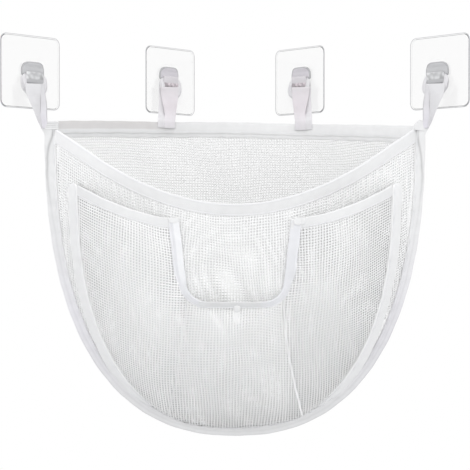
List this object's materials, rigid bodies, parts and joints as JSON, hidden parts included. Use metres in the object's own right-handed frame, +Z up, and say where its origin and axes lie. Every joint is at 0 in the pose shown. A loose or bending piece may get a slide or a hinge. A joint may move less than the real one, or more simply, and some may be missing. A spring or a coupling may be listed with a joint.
{
  "type": "bath toy organizer",
  "caption": "Mesh bag with a scooped front and sewn front pockets that hangs on ribbon straps from clear adhesive wall hooks across a bathroom corner, to hold and drain bath toys.",
  "frame": {"origin": "centre of the box around the whole organizer, hooks included", "axes": "+X to the right seen from the room, +Y into the room corner, away from the viewer, +Z up"},
  "size_m": [0.383, 0.1872, 0.3434],
  "materials": {
    "mesh_net": "white polyester net with square holes",
    "binding_tape": "white woven edging tape, stitched",
    "ribbon": "white woven ribbon with a fine rib",
    "clear_pad": "clear, smooth, with grey edges",
    "clear_adhesive": "clear adhesive sheet",
    "clear_hook": "clear moulded plastic that looks grey where it is thick"
  },
  "bodies": {
    "wall_hooks": {"adhesive_outer_left": "clear_adhesive", "adhesive_inner_left": "clear_adhesive", "adhesive_inner_right": "clear_adhesive", "adhesive_outer_right": "clear_adhesive", "pad_outer_left": "clear_pad", "pad_inner_left": "clear_pad", "pad_inner_right": "clear_pad", "pad_outer_right": "clear_pad", "hook_outer_left": "clear_hook", "hook_inner_left": "clear_hook", "hook_inner_right": "clear_hook", "hook_outer_right": "clear_hook"},
    "bag": {"back_panel": "mesh_net", "front_panel": "mesh_net", "middle_pocket_panel": "mesh_net", "left_pocket_panel": "mesh_net", "right_pocket_panel": "mesh_net", "back_band": "binding_tape", "front_rim_tape": "binding_tape", "seam_binding": "binding_tape", "notch_binding": "binding_tape", "middle_seam_tape": "binding_tape", "left_pocket_rim": "binding_tape", "right_pocket_rim": "binding_tape", "left_pocket_piping": "binding_tape", "right_pocket_piping": "binding_tape", "left_pocket_seam": "binding_tape", "right_pocket_seam": "binding_tape", "strap_outer_left": "ribbon", "strap_inner_left": "ribbon", "strap_inner_right": "ribbon", "strap_outer_right": "ribbon"}
  },
  "joints": [
    {"name": "bag_lift", "type": "slide", "parent": "wall_hooks", "child": "bag", "axis": [0, 0, 1], "range_m": [0, 0.0048]}
  ]
}
